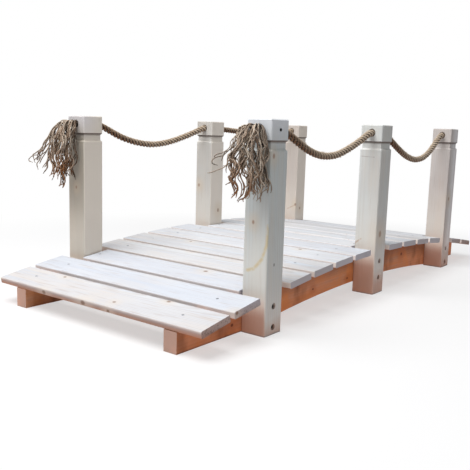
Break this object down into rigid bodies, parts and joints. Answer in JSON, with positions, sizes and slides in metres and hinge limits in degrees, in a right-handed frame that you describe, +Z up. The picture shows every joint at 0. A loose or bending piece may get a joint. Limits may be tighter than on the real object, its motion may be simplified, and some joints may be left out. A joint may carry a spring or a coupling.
{
  "type": "garden pond bridge",
  "caption": "Low arched timber footbridge with a plank deck on two curved stringers, grooved square posts and slack rope handrails with frayed ends.",
  "frame": {"origin": "on the ground, at the middle of the bridge's length and width", "axes": "+X along the bridge to its far end, +Y to the left rail, +Z up"},
  "size_m": [2.1562, 0.9955, 0.658],
  "materials": {
    "deck_wood": "planed, pale",
    "post_wood": "planed, pale grey",
    "stringer_wood": "planed, brown",
    "rope": "laid natural fibre",
    "fastener_steel": "zinc plated, weathered"
  },
  "bodies": {
    "root": {"stringer_left": "stringer_wood", "stringer_right": "stringer_wood", "plank_01": "deck_wood", "plank_02": "deck_wood", "plank_03": "deck_wood", "plank_04": "deck_wood", "plank_05": "deck_wood", "plank_06": "deck_wood", "plank_07": "deck_wood", "plank_08": "deck_wood", "plank_09": "deck_wood", "plank_10": "deck_wood", "plank_11": "deck_wood", "plank_12": "deck_wood", "plank_13": "deck_wood", "plank_14": "deck_wood", "plank_15": "deck_wood", "post_left_near": "post_wood", "post_left_middle": "post_wood", "post_left_far": "post_wood", "post_right_near": "post_wood", "post_right_middle": "post_wood", "post_right_far": "post_wood", "rope_left": "rope", "rope_right": "rope", "tassel_left": "rope", "tassel_right": "rope"}
  },
  "joints": []
}
